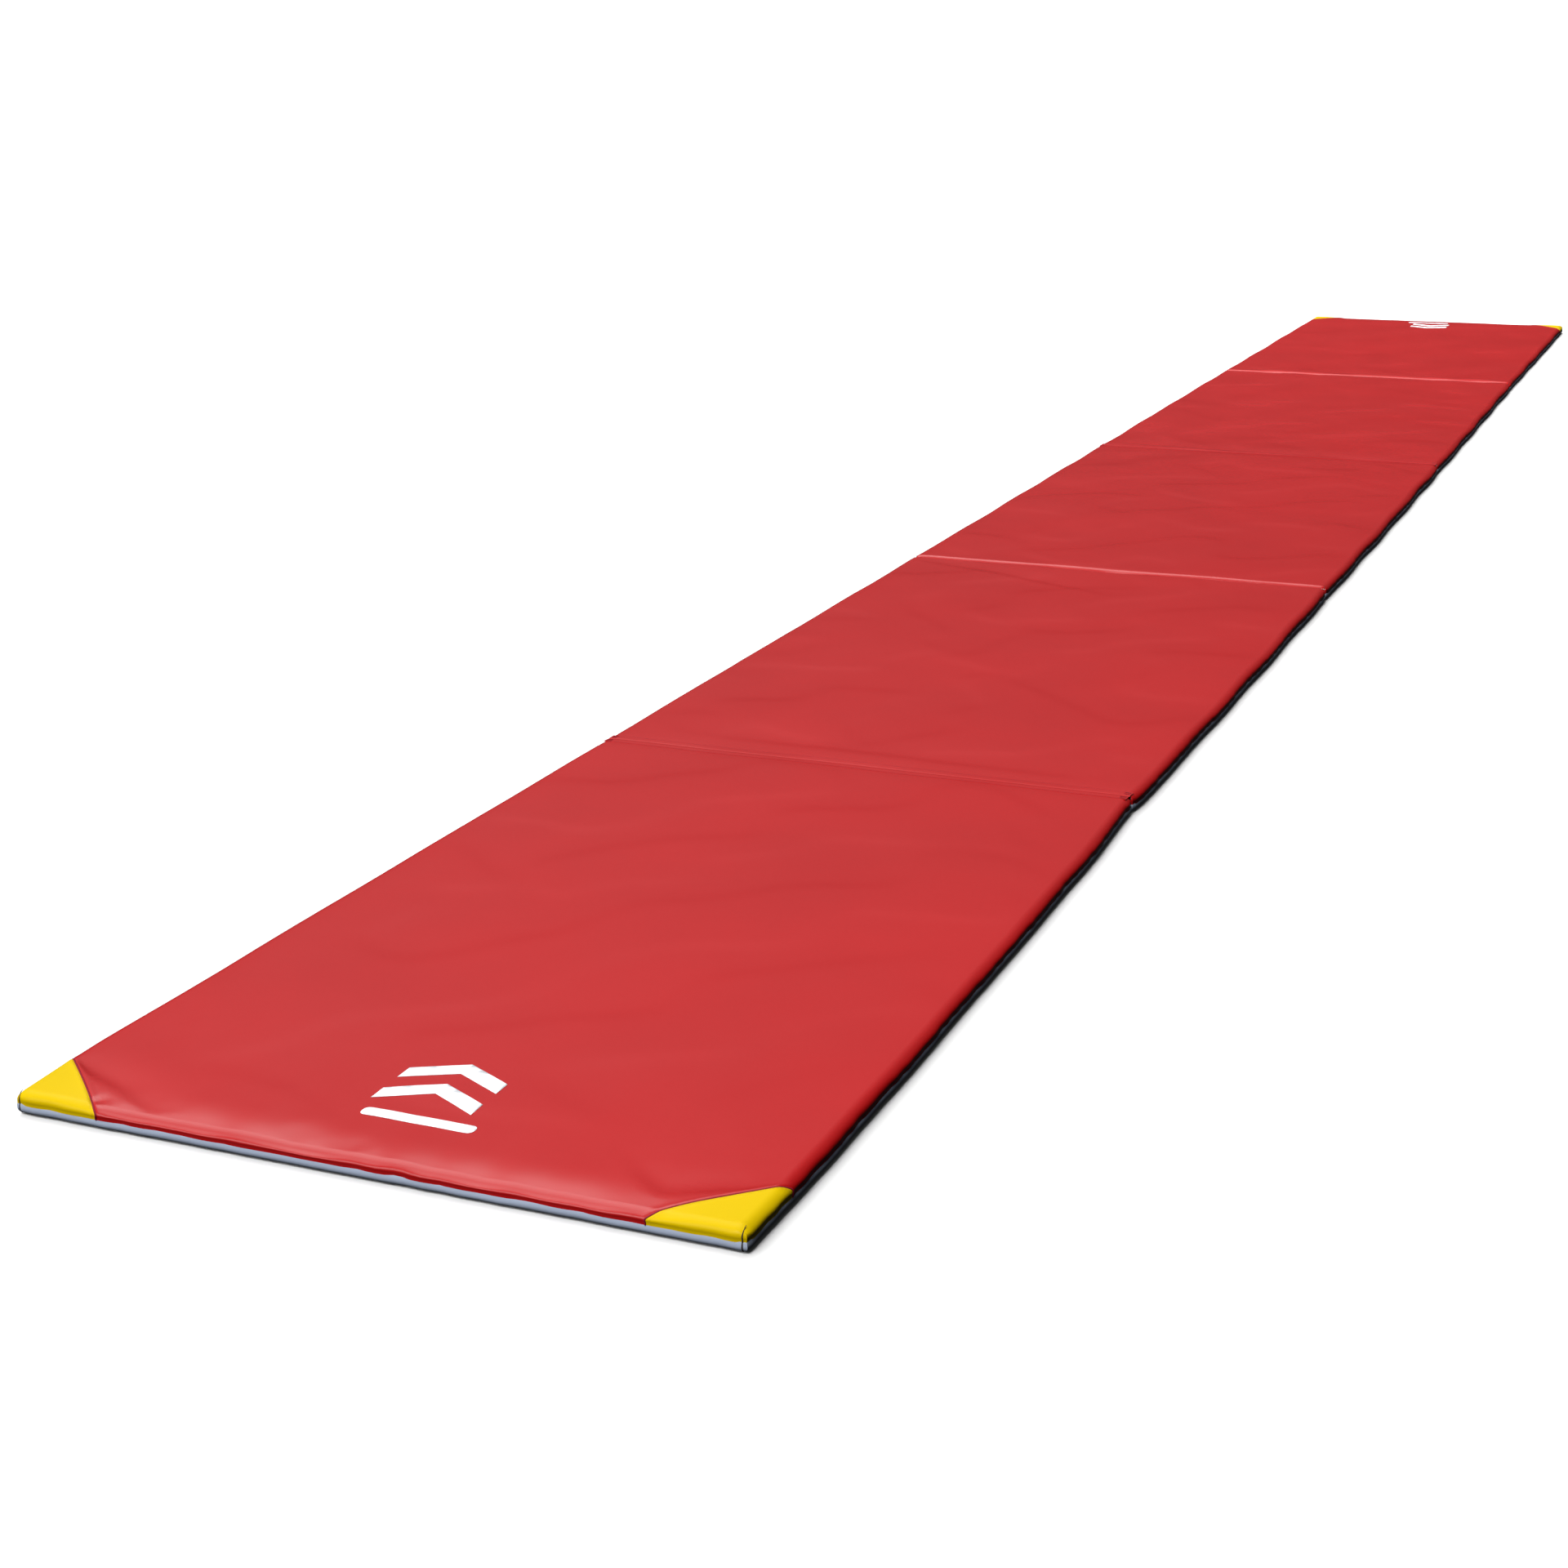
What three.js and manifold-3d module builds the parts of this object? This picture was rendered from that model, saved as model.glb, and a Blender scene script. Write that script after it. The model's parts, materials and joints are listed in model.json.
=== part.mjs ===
// A folding gymnastics runway mat: five foam panels, each in a vinyl cover of a red top and a grey
// base, joined at four fabric folds so that the panels stack like a concertina.
//
// Millimetres. +X runs along the mat from its near end to its far end, +Y across it, +Z up.
// The origin is under the middle of the mat, on the floor.
//
// Folds 1 and 3 turn on the top sheet, so the tops of their panels close on each other.
// Folds 2 and 4 turn on the base sheet, so the undersides of their panels close on each other.

import * as THREE from "three";
import { mergeVertices } from "three/addons/utils/BufferGeometryUtils.js";
import Module from "manifold-3d";

const wasm = await Module();
wasm.setup();

// The mat
const PANELS = 5;
const PITCH = 2000; // from fold line to fold line
const WIDTH = 1200;
const THICKNESS = 40;
const FOLD_GAP = 6; // between the end walls of two panels, lying flat
const CORNER_RADIUS = 12; // of a panel, seen from above
const EDGE_RADIUS = 6; // where the top or the base turns down into a wall
const ARC_STEPS = 3; // in each quarter round

// The cover
const SKIN = 0.8; // vinyl-coated cloth
const SEAM_HEIGHT = 19; // where the red top cover is sewn to the grey base cover
const CLEARANCE = 0.3; // between two pieces that touch

// The sheet that crosses a fold, in two leaves that part at the fold line
const LEAF_REACH = 4.5; // from the fold line back over a panel's rounded edge
const LEAF_INSET = 0.3; // below the mat's top, or above the floor

// Yellow corner patches, one at each end of each long side of the mat
const PATCH_REACH = 148; // along the mat's end and along its long side
const PATCHES = [
  { name: "near_left", panel: 0, end: -1, side: 1 },
  { name: "near_right", panel: 0, end: -1, side: -1 },
  { name: "far_left", panel: PANELS - 1, end: 1, side: 1 },
  { name: "far_right", panel: PANELS - 1, end: 1, side: -1 },
];
const PATCH_OVERRUN = 0.25; // share of a patch's edge by which its cut runs past the mat

// The zip in the left long wall of each panel, and its slider
const ZIP_LENGTH = 1700;
const ZIP_TAPE_HEIGHT = 12;
const ZIP_COIL_HEIGHT = 3.6;
const ZIP_COIL_PROUD = 1;
const SLIDER_LENGTH = 18;
const SLIDER_HEIGHT = 9;
const SLIDER_PROUD = 3.2;
const SLIDER_PARK = 12; // from the closed end of the zip to the slider

// The printed mark at each end: two chevrons that point along the mat, over a bar
const FILM = 0.3; // thickness, and also its clearance over the cover
const MARKS = [
  { name: "near", end: -1 },
  { name: "far", end: 1 },
];
const CHEVRONS_CENTRE = 255; // from the mat's end
const CHEVRON_WIDTH = 170;
const CHEVRON_RISE = 44;
const CHEVRON_STROKE = 36;
const CHEVRON_SPACING = 76;
const BAR_CENTRE = 134; // from the mat's end
const BAR_LENGTH = 190;
const BAR_HEIGHT = 25;
const BAR_OFFSET = 22; // towards the right, for someone standing at that end

const LENGTH = PANELS * PITCH;
const NEAR_END = -LENGTH / 2;

const materials = {
  red: { color: "#c43c3c", roughness: 0.35, metalness: 0 },
  grey: { color: "#9aa5bd", roughness: 0.5, metalness: 0 },
  yellow: { color: "#ffd800", roughness: 0.35, metalness: 0 },
  foam: { color: "#d9d4c4", roughness: 0.95, metalness: 0 },
  tape: { color: "#2b2b30", roughness: 0.85, metalness: 0 },
  slider: { color: "#b8bcc0", roughness: 0.3, metalness: 1 },
  print: { color: "#f2f4f8", roughness: 0.4, metalness: 0 },
};

const mat = new THREE.Group();
mat.name = "folding_runway_mat";

function add(name, geometry, material) {
  const piece = new THREE.Mesh(geometry, new THREE.MeshStandardMaterial(materials[material]));
  piece.name = name;
  mat.add(piece);
}

// Joins and cuts

function toSolid(geometry) {
  const bare = geometry.clone();
  bare.deleteAttribute("normal");
  bare.deleteAttribute("uv");
  const merged = mergeVertices(bare, 1e-4);
  return new wasm.Manifold(
    new wasm.Mesh({
      numProp: 3,
      vertProperties: new Float32Array(merged.attributes.position.array),
      triVerts: new Uint32Array(merged.index.array),
    }),
  );
}

function toGeometry(solid) {
  const cut = solid.getMesh();
  const geometry = new THREE.BufferGeometry();
  geometry.setAttribute("position", new THREE.BufferAttribute(new Float32Array(cut.vertProperties), 3));
  geometry.setIndex(new THREE.BufferAttribute(new Uint32Array(cut.triVerts), 1));
  return geometry;
}

// Shapes

function roundedRectangle(x0, x1, y0, y1, radius) {
  const shape = new THREE.Shape();
  shape.absarc(x1 - radius, y1 - radius, radius, 0, Math.PI / 2);
  shape.absarc(x0 + radius, y1 - radius, radius, Math.PI / 2, Math.PI);
  shape.absarc(x0 + radius, y0 + radius, radius, Math.PI, Math.PI * 1.5);
  shape.absarc(x1 - radius, y0 + radius, radius, Math.PI * 1.5, Math.PI * 2);
  return shape;
}

function box(x0, x1, y0, y1, z0, z1) {
  const geometry = new THREE.BoxGeometry(x1 - x0, y1 - y0, z1 - z0);
  geometry.translate((x0 + x1) / 2, (y0 + y1) / 2, (z0 + z1) / 2);
  return geometry;
}

// A shape drawn in Y and Z, run along X from x0 to x1.
function alongX(shape, x0, x1) {
  const geometry = new THREE.ExtrudeGeometry(shape, { depth: x1 - x0, bevelEnabled: false });
  const toYZ = new THREE.Matrix4().makeBasis(
    new THREE.Vector3(0, 1, 0),
    new THREE.Vector3(0, 0, 1),
    new THREE.Vector3(1, 0, 0),
  );
  geometry.applyMatrix4(toYZ);
  geometry.translate(x0, 0, 0);
  return geometry;
}

function panelEnds(panel) {
  const near = NEAR_END + panel * PITCH;
  const isFirst = panel === 0;
  const isLast = panel === PANELS - 1;
  return [near + (isFirst ? 0 : FOLD_GAP / 2), near + PITCH - (isLast ? 0 : FOLD_GAP / 2)];
}

// A panel's block with every edge rounded, shrunk by inset on all sides.
function panelBlock(panel, inset) {
  const [x0, x1] = panelEnds(panel);
  const edge = EDGE_RADIUS - inset;
  const outline = roundedRectangle(
    x0 + inset,
    x1 - inset,
    -WIDTH / 2 + inset,
    WIDTH / 2 - inset,
    CORNER_RADIUS - inset,
  );
  const geometry = new THREE.ExtrudeGeometry(outline, {
    depth: THICKNESS - 2 * inset - 2 * edge,
    curveSegments: ARC_STEPS,
    bevelThickness: edge,
    bevelSize: edge,
    bevelOffset: -edge,
    bevelSegments: ARC_STEPS,
  });
  geometry.translate(0, 0, inset + edge);
  return geometry;
}

// The corner that a patch takes in, as an upright three-sided block. setback moves its sloping
// face towards the corner.
function patchBlock(patch, setback) {
  const corner = new THREE.Vector2((patch.end * LENGTH) / 2, (patch.side * WIDTH) / 2);
  const onEnd = corner.clone().add(new THREE.Vector2(0, -patch.side * PATCH_REACH));
  const onSide = corner.clone().add(new THREE.Vector2(-patch.end * PATCH_REACH, 0));
  const edge = onSide.clone().sub(onEnd);
  const middle = onEnd.clone().add(onSide).multiplyScalar(0.5);
  const outward = corner.clone().sub(middle);
  const shift = outward.clone().setLength(setback);
  const tip = corner.clone().add(outward.multiplyScalar(2));
  const start = onEnd.addScaledVector(edge, -PATCH_OVERRUN).add(shift);
  const finish = onSide.addScaledVector(edge, PATCH_OVERRUN).add(shift);
  const outline = new THREE.Shape([start, finish, tip]);
  const geometry = new THREE.ExtrudeGeometry(outline, { depth: THICKNESS * 2, bevelEnabled: false });
  geometry.translate(0, 0, -THICKNESS / 2);
  return geometry;
}

// Sub-parts

function zipEnds(panel) {
  const [x0, x1] = panelEnds(panel);
  const middle = (x0 + x1) / 2;
  return [middle - ZIP_LENGTH / 2, middle + ZIP_LENGTH / 2];
}

function addPanel(panel) {
  const number = panel + 1;
  const [x0, x1] = panelEnds(panel);
  const [zip0, zip1] = zipEnds(panel);
  const halfSlot = ZIP_TAPE_HEIGHT / 2 + CLEARANCE;
  const wall = WIDTH / 2;
  const shell = toSolid(panelBlock(panel, 0)).subtract(toSolid(panelBlock(panel, SKIN)));
  const slot = toSolid(
    box(
      zip0 - CLEARANCE,
      zip1 + CLEARANCE,
      wall - 2 * SKIN,
      wall + SKIN,
      SEAM_HEIGHT - halfSlot,
      SEAM_HEIGHT + halfSlot,
    ),
  );
  const upper = toSolid(
    box(x0 - 1, x1 + 1, -WIDTH, WIDTH, SEAM_HEIGHT + CLEARANCE / 2, THICKNESS + 1),
  );
  const lower = toSolid(box(x0 - 1, x1 + 1, -WIDTH, WIDTH, -1, SEAM_HEIGHT - CLEARANCE / 2));
  const topTray = shell.intersect(upper);
  let topCover = topTray.subtract(slot);
  for (const patch of PATCHES.filter((p) => p.panel === panel)) {
    const piece = topTray.intersect(toSolid(patchBlock(patch, CLEARANCE)));
    topCover = topCover.subtract(toSolid(patchBlock(patch, 0)));
    add(`corner_patch_${patch.name}`, toGeometry(piece), "yellow");
  }
  add(`foam_core_${number}`, panelBlock(panel, SKIN + CLEARANCE), "foam");
  add(`top_cover_${number}`, toGeometry(topCover), "red");
  add(`base_cover_${number}`, toGeometry(shell.intersect(lower).subtract(slot)), "grey");
}

// Tape and coil in one section: the tape fills the slot in the wall, the coil stands out of it.
function addZip(panel) {
  const [zip0, zip1] = zipEnds(panel);
  const wall = WIDTH / 2;
  const halfTape = ZIP_TAPE_HEIGHT / 2;
  const halfCoil = ZIP_COIL_HEIGHT / 2;
  const section = new THREE.Shape([
    new THREE.Vector2(wall - SKIN, SEAM_HEIGHT - halfTape),
    new THREE.Vector2(wall, SEAM_HEIGHT - halfTape),
    new THREE.Vector2(wall, SEAM_HEIGHT - halfCoil),
    new THREE.Vector2(wall + ZIP_COIL_PROUD, SEAM_HEIGHT - halfCoil),
    new THREE.Vector2(wall + ZIP_COIL_PROUD, SEAM_HEIGHT + halfCoil),
    new THREE.Vector2(wall, SEAM_HEIGHT + halfCoil),
    new THREE.Vector2(wall, SEAM_HEIGHT + halfTape),
    new THREE.Vector2(wall - SKIN, SEAM_HEIGHT + halfTape),
  ]);
  add(`zip_tape_${panel + 1}`, alongX(section, zip0, zip1), "tape");
}

// A channel that straddles the coil, parked at the near end of the zip. It has no pull tab.
function addSlider(panel) {
  const [zip0] = zipEnds(panel);
  const inner = WIDTH / 2 + CLEARANCE;
  const outer = WIDTH / 2 + SLIDER_PROUD;
  const channel = WIDTH / 2 + ZIP_COIL_PROUD + CLEARANCE;
  const halfSlider = SLIDER_HEIGHT / 2;
  const halfChannel = ZIP_COIL_HEIGHT / 2 + CLEARANCE;
  const section = new THREE.Shape([
    new THREE.Vector2(inner, SEAM_HEIGHT - halfSlider),
    new THREE.Vector2(outer, SEAM_HEIGHT - halfSlider),
    new THREE.Vector2(outer, SEAM_HEIGHT + halfSlider),
    new THREE.Vector2(inner, SEAM_HEIGHT + halfSlider),
    new THREE.Vector2(inner, SEAM_HEIGHT + halfChannel),
    new THREE.Vector2(channel, SEAM_HEIGHT + halfChannel),
    new THREE.Vector2(channel, SEAM_HEIGHT - halfChannel),
    new THREE.Vector2(inner, SEAM_HEIGHT - halfChannel),
  ]);
  const start = zip0 + SLIDER_PARK;
  add(`zip_slider_${panel + 1}`, alongX(section, start, start + SLIDER_LENGTH), "slider");
}

// The two leaves of the sheet that crosses a fold, one riding on each panel.
function addFold(fold) {
  const line = NEAR_END + (fold + 1) * PITCH;
  const onTop = fold % 2 === 0;
  const z0 = onTop ? THICKNESS - LEAF_INSET - SKIN : LEAF_INSET;
  const half = WIDTH / 2 - CORNER_RADIUS;
  const near = box(line - LEAF_REACH, line - CLEARANCE / 2, -half, half, z0, z0 + SKIN);
  const far = box(line + CLEARANCE / 2, line + LEAF_REACH, -half, half, z0, z0 + SKIN);
  const colour = onTop ? "red" : "grey";
  add(`fold_${fold + 1}_leaf_near`, near, colour);
  add(`fold_${fold + 1}_leaf_far`, far, colour);
}

// A film on the top, turned to be read from its end of the mat and set in from that end.
function addFilm(name, shape, end, inset, offset) {
  const geometry = new THREE.ExtrudeGeometry(shape, {
    depth: FILM,
    bevelEnabled: false,
    curveSegments: ARC_STEPS,
  });
  geometry.translate(inset - LENGTH / 2, -offset, THICKNESS + FILM);
  if (end > 0) {
    geometry.rotateZ(Math.PI);
  }
  add(name, geometry, "print");
}

function chevron() {
  const half = CHEVRON_WIDTH / 2;
  const back = -(CHEVRON_RISE + CHEVRON_STROKE) / 2;
  return new THREE.Shape([
    new THREE.Vector2(back, -half),
    new THREE.Vector2(back + CHEVRON_STROKE, -half),
    new THREE.Vector2(back + CHEVRON_STROKE + CHEVRON_RISE, 0),
    new THREE.Vector2(back + CHEVRON_STROKE, half),
    new THREE.Vector2(back, half),
    new THREE.Vector2(back + CHEVRON_RISE, 0),
  ]);
}

function addMark(mark) {
  const half = CHEVRON_SPACING / 2;
  const bar = roundedRectangle(
    -BAR_HEIGHT / 2,
    BAR_HEIGHT / 2,
    -BAR_LENGTH / 2,
    BAR_LENGTH / 2,
    BAR_HEIGHT / 2.5,
  );
  addFilm(`${mark.name}_mark_chevron_1`, chevron(), mark.end, CHEVRONS_CENTRE - half, 0);
  addFilm(`${mark.name}_mark_chevron_2`, chevron(), mark.end, CHEVRONS_CENTRE + half, 0);
  addFilm(`${mark.name}_mark_bar`, bar, mark.end, BAR_CENTRE, BAR_OFFSET);
}

for (let panel = 0; panel < PANELS; panel += 1) {
  addPanel(panel);
  addZip(panel);
  addSlider(panel);
}
for (let fold = 0; fold < PANELS - 1; fold += 1) {
  addFold(fold);
}
for (const mark of MARKS) {
  addMark(mark);
}

export default mat;
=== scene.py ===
"""A folding gymnastics runway mat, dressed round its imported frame.

Metres, in the frame's own axes: +X runs along the mat from its near end to its far end, +Y across
it towards the zips and +Z up. The origin is under the middle of the mat, on the floor.
"""

import itertools
import json
import math

import bmesh
import bpy
import numpy as np
from mathutils import Matrix, Vector


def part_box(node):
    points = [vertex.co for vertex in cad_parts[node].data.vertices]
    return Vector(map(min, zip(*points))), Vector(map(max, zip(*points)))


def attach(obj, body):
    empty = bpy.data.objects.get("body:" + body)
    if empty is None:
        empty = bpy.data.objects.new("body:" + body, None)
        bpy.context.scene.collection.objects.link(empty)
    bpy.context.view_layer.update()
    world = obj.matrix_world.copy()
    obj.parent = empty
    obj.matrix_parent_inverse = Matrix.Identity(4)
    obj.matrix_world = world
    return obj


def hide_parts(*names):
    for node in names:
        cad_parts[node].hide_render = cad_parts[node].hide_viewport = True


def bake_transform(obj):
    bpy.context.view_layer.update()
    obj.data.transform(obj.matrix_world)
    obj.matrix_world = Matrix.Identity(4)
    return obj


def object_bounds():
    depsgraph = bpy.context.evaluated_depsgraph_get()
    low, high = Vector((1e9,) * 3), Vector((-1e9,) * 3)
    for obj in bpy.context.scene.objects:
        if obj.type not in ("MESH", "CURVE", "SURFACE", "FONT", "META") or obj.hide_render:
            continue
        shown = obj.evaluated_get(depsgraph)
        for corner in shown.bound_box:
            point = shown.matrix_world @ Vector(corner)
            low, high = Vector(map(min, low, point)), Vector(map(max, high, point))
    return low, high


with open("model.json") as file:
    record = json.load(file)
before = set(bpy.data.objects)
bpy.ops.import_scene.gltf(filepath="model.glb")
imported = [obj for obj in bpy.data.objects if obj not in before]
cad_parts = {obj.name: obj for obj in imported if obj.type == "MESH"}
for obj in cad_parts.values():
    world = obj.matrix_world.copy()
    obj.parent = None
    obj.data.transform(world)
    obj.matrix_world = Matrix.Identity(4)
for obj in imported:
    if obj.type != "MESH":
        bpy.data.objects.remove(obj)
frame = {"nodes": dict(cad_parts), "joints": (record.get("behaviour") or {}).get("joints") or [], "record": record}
CAD_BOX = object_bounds()

# Sizes taken from the frame
PANELS = 5
NEAR, FAR = CAD_BOX[0].x, CAD_BOX[1].x
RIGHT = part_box("base_cover_1")[0].y
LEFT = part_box("base_cover_1")[1].y
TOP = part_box("top_cover_1")[1].z
SEAM = (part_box("base_cover_1")[1].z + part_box("top_cover_1")[0].z) / 2
FOLDS = {j["name"]: j for j in frame["joints"] if j["name"].startswith("fold_")}
FOLD_LINES = [FOLDS[f"fold_{n}"]["pos_m"][0] for n in range(1, PANELS)]

# Cover
SKIN = 0.0008  # thickness of the vinyl-coated cloth
TOP_RADIUS = 0.017  # how far in from a wall the top starts to turn down
BASE_RADIUS = 0.010  # where the base turns into a wall
EDGE_STEPS = 6
CORNER_POINT = 0.7  # how sharp a panel's upright corners are: 0 is round and 1 is square
CELL_ALONG = 0.0125
CELL_ACROSS = 0.0150
EDGE_OFFSETS = (0.0, 0.0015, 0.0045, 0.009, 0.015, 0.022, 0.031)  # of the closer grid lines
TOP_SETTLE = 0.0008  # how far the cover's top lies below the frame's, to leave room for wrinkles
BASE_LIFT = 0.0012  # of the base cover off the floor
WALL_BULGE = 0.0012
SHOULDERS = {2: (0.040, 0.024), 4: (0.062, 0.036)}  # at open folds: radius, reach from the line
END_FALL = 0.0085  # how far the top sags to the mat's two outer ends
END_REACH = 0.080
BROAD_RISE = 0.00035  # of the long slow waves in the top
CROSS_RISE = 0.00010  # of waves drawn out across the mat, in its far half
END_RIPPLE = 0.0013  # of the short ripples that the near end's seam gathers
END_RIPPLE_REACH = 0.085
SIDE_ROLL = 0.0018  # how far the top rolls down at its sides, and at its ends
END_ROLL = 0.0008
LEFT_DIP = 0.0009  # of the scallops along a long side
RIGHT_DIP = 0.0013
LOWEST = -0.0122  # limits of how far the top may settle or stand up
HIGHEST = 0.0012
SEAM_SWELL = 0.0006  # of the cover on both sides of a patch seam
SEAM_GROOVE = 0.0008
FOLD_ENDS_BULGE = 0.25  # share of the wall's bulge that is left where two panels meet
HEM_PROUD = 0.0004  # how far the red cover's lower edge stands out over the grey
HEM_OVERLAP = 0.0022
HEM_BEHIND = 0.0014  # how far the grey cover's upper edge lies back, behind the red
HEM_TUCK = 0.0012

CORNER_SEAM_FROM = 0.0075  # of the upright seams, from a panel's corner

# Foam
FOAM_INSET = 0.0026  # from the cover's wall
FOAM_DROP = 0.0052  # from the cover's top
FOAM_CELL = 0.025

# Sheets sewn across the folds
STRIP_REACH = 0.024  # from the fold line
STRIP_PROUD = 0.00030
STRIP_SKIN = 0.0006

# Camera
CAMERA_PLACE = (-7.702, -1.801, 1.5945)
CAMERA_TARGET = (-3.0644, 0.1506, 0.0)
CAMERA_ROLL = -0.642  # degrees
CAMERA_ANGLE = 35.12  # degrees

# Cloth simulation of the panels' tops
SIM_CELL = 0.022
SIM_FRAMES = 16
SIM_SLACK = 0.0010  # share by which the sheet is cut too long
SIM_GATHER = 0.012  # share by which its seams are drawn in
SIM_CAP = 0.0006  # how far a point may end from the plain shape

# Light
SUN_FROM = (-0.62, 0.08, 1.0)
SUN_POWER = 2.2
SUN_SOFTNESS = 20  # degrees across
SKY_STEPS = ((0.0, 0.04), (0.13, 0.07), (0.21, 0.12), (0.34, 0.26), (0.47, 0.42), (0.85, 0.44))
SKY_SHADE_SIDE = 0.05  # share of the sky's brightness towards -Y
SKY_LIT_SIDE = 1.15
SOFTBOXES = (  # turn from +X towards +Y, rise, half angles of the full and the fading part, power
    (46, 61, 12, 28, 3.8),
    (145, 38, 9, 26, 3.8),
)
FAR_LAMP_PLACE = (5.2, 0.2, 4.2)
FAR_LAMP_SIZE = (6.0, 4.0)
FAR_LAMP_POWER = 130
FLOOR_SHADE = 0.79
FLOOR_DROP = 0.0003



# Numbers

def smooth(value, low, high):
    t = np.clip((value - low) / (high - low), 0.0, 1.0)
    return t * t * (3.0 - 2.0 * t)


def bell(distance, width):
    return np.exp(-((distance / width) ** 2))


def make_waves(seed, count, shortest, longest, stretch=1.0):
    """A smooth random field of x and y between about -1 and 1. stretch draws it out along y."""
    dice = np.random.default_rng(seed)
    length = shortest * (longest / shortest) ** dice.random(count)
    angle = dice.random(count) * math.tau
    phase = dice.random(count) * math.tau
    kx = np.cos(angle) * math.tau / length
    ky = np.sin(angle) * math.tau / length / stretch

    def field(x, y):
        x, y = np.asarray(x, float), np.asarray(y, float)
        total = np.zeros(np.broadcast(x, y).shape)
        for i in range(count):
            total = total + np.sin(kx[i] * x + ky[i] * y + phase[i])
        return total / math.sqrt(count)

    return field


BROAD = make_waves(11, 9, 0.35, 0.9)
CROSS = make_waves(12, 9, 0.10, 0.30, stretch=5.0)
RIPPLE = make_waves(13, 7, 0.075, 0.15)
SCALLOP = make_waves(14, 5, 0.30, 0.55)
PUCKER = make_waves(15, 6, 0.045, 0.09)


def to_line(x, y, points):
    """Distance from each (x, y) to a polyline, the share of its length where that falls, and the
    lean: from -1 on the polyline's near side to 1 on its far side."""
    best = np.full(np.shape(x), 1e9)
    share = np.zeros(np.shape(x))
    lean = np.zeros(np.shape(x))
    lengths = [math.dist(a, b) for a, b in zip(points, points[1:])]
    start = 0.0
    for (ax, ay), (bx, by), length in zip(points, points[1:], lengths):
        t = ((x - ax) * (bx - ax) + (y - ay) * (by - ay)) / length**2
        t = np.clip(t, 0.0, 1.0)
        gap = np.hypot(x - ax - t * (bx - ax), y - ay - t * (by - ay))
        closer = gap < best
        best = np.where(closer, gap, best)
        share = np.where(closer, (start + t * length) / sum(lengths), share)
        lean = np.where(closer, (x - ax - t * (bx - ax)) / np.maximum(gap, 1e-6), lean)
        start += length
    return best, share, lean


# The shape that the cover has taken. A crease is (points, depth, half width), with x from the near
# end. It is steep towards the near end and gentle away from it.

CREASES = [
    ([(0.142, 0.588), (0.100, 0.520), (0.077, 0.467), (0.045, 0.405), (0.027, 0.368)], 0.0040, 0.0075),
    ([(0.030, 0.478), (0.012, 0.462)], 0.0026, 0.006),
    ([(0.122, -0.385), (0.080, -0.425), (0.064, -0.452), (0.092, -0.500), (0.130, -0.560)], 0.0030, 0.009),
    ([(0.055, 0.150), (0.010, 0.110)], 0.0016, 0.012),
    ([(0.050, 0.010), (0.008, 0.030)], 0.0014, 0.010),
    ([(2.112, 0.440), (2.095, -0.468)], 0.0012, 0.016),
    ([(3.962, 0.580), (3.872, 0.305), (3.709, -0.074)], 0.0012, 0.012),
    ([(6.068, 0.590), (6.030, 0.100), (5.992, -0.585)], 0.0010, 0.010),
]


def crease_depth(x, y):
    depth = np.zeros(np.shape(x))
    for points, deepest, width in CREASES:
        gap, share, lean = to_line(x - NEAR, y, points)
        fade = np.sin(np.pi * np.clip(share, 0.02, 0.98)) ** 0.5
        width = width * (1 + 4.0 * smooth(lean, -0.3, 0.8))
        valley = bell(gap, width) - 0.15 * bell(gap - 2.2 * width, width)
        depth += deepest * valley * fade
    return depth


def fold_fall(x, y):
    """How far the top falls away beside each fold: far at an open one, little at a bridged one."""
    from_side = np.minimum(LEFT - y, y - RIGHT)
    fall = np.zeros(np.shape(x))
    for number, line in enumerate(FOLD_LINES, start=1):
        if number not in SHOULDERS:
            fall += 0.0009 * bell(x - line, 0.035)
            continue
        radius, reach = SHOULDERS[number]
        uneven = 1 + 0.22 * SCALLOP(3.0 * number, 2.2 * y)
        reach = reach * (0.72 + 0.28 * smooth(from_side, 0.0, 0.12)) * uneven
        over = np.clip(reach - np.abs(x - line), 0, 0.5 * radius)
        fall += radius - np.sqrt(radius**2 - over**2)
    return fall


def end_fall(from_end, from_side, y):
    """How far the top sags to the mat's outer ends, where the end seam draws it down."""
    share = 1 - np.clip(from_end / END_REACH, 0, 1)
    uneven = 1 + 0.12 * SCALLOP(0.0, 2.5 * y)
    return END_FALL * share**2 * smooth(from_side, 0.03, 0.24) * uneven


SETTLED = {}  # panel number: the grid lines and heights that its simulation ended with


def simulated(x, y):
    """Heights from the cloth simulation, read between its grid points. 0 where it wasn't run."""
    total = np.zeros(np.shape(x))
    for xs, ys, grid in SETTLED.values():
        i = np.clip((x - xs[0]) / (xs[1] - xs[0]), 0, len(xs) - 1.001)
        j = np.clip((y - ys[0]) / (ys[1] - ys[0]), 0, len(ys) - 1.001)
        i0, j0 = i.astype(int), j.astype(int)
        fi, fj = i - i0, j - j0
        low = grid[i0, j0] * (1 - fi) + grid[i0 + 1, j0] * fi
        high = grid[i0, j0 + 1] * (1 - fi) + grid[i0 + 1, j0 + 1] * fi
        inside = (x >= xs[0]) & (x <= xs[-1])
        total = np.where(inside, low * (1 - fj) + high * fj, total)
    return total


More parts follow.
